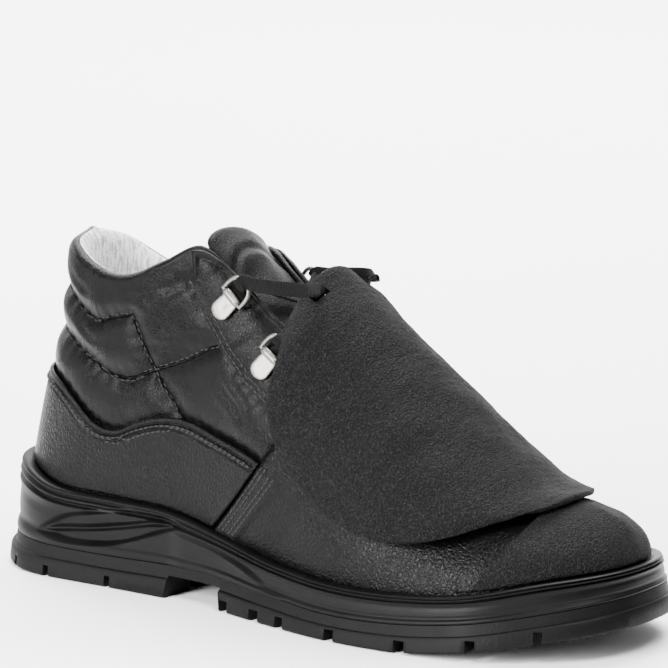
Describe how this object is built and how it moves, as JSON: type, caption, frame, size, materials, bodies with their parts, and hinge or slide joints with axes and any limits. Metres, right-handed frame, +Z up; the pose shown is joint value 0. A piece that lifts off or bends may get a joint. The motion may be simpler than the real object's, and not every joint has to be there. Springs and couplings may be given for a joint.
{
  "type": "safety shoe",
  "caption": "Ankle-high leather safety shoe for the right foot: lugged sole, padded collar, bellows tongue, rough toe cap, metatarsal flap and flat lace through D rings",
  "frame": {"origin": "centre of the sole's bounding rectangle, on the ground", "axes": "+X from the heel to the toe, +Z up, -Y is the outer side of a right shoe"},
  "size_m": [0.312, 0.116, 0.1538],
  "materials": {
    "sole_rubber": "satin black rubber with a fine texture on the side walls",
    "midsole_foam": "satin black moulded foam",
    "collar_leather": "smooth soft black leather with a satin sheen",
    "grained_leather": "pebbled black leather with a satin sheen",
    "rough_cover": "rough granular charcoal coating, matt",
    "grey_textile": "light grey lining textile with a fine vertical streak",
    "ring_metal": "warm grey lacquered metal",
    "lace_yarn": "flat black woven yarn"
  },
  "bodies": {
    "root": {"outsole": "sole_rubber", "midsole": "midsole_foam", "insole": "grey_textile", "upper": "collar_leather", "heel_quarter": "grained_leather", "toe_cap": "rough_cover", "eyestay_outer": "collar_leather", "eyestay_inner": "collar_leather", "tongue": "grained_leather", "metatarsal_flap": "rough_cover", "d_ring_outer_1": "ring_metal", "d_ring_outer_2": "ring_metal", "d_ring_outer_3": "ring_metal", "d_ring_inner_1": "ring_metal", "d_ring_inner_2": "ring_metal", "d_ring_inner_3": "ring_metal", "lace": "lace_yarn"}
  },
  "joints": []
}
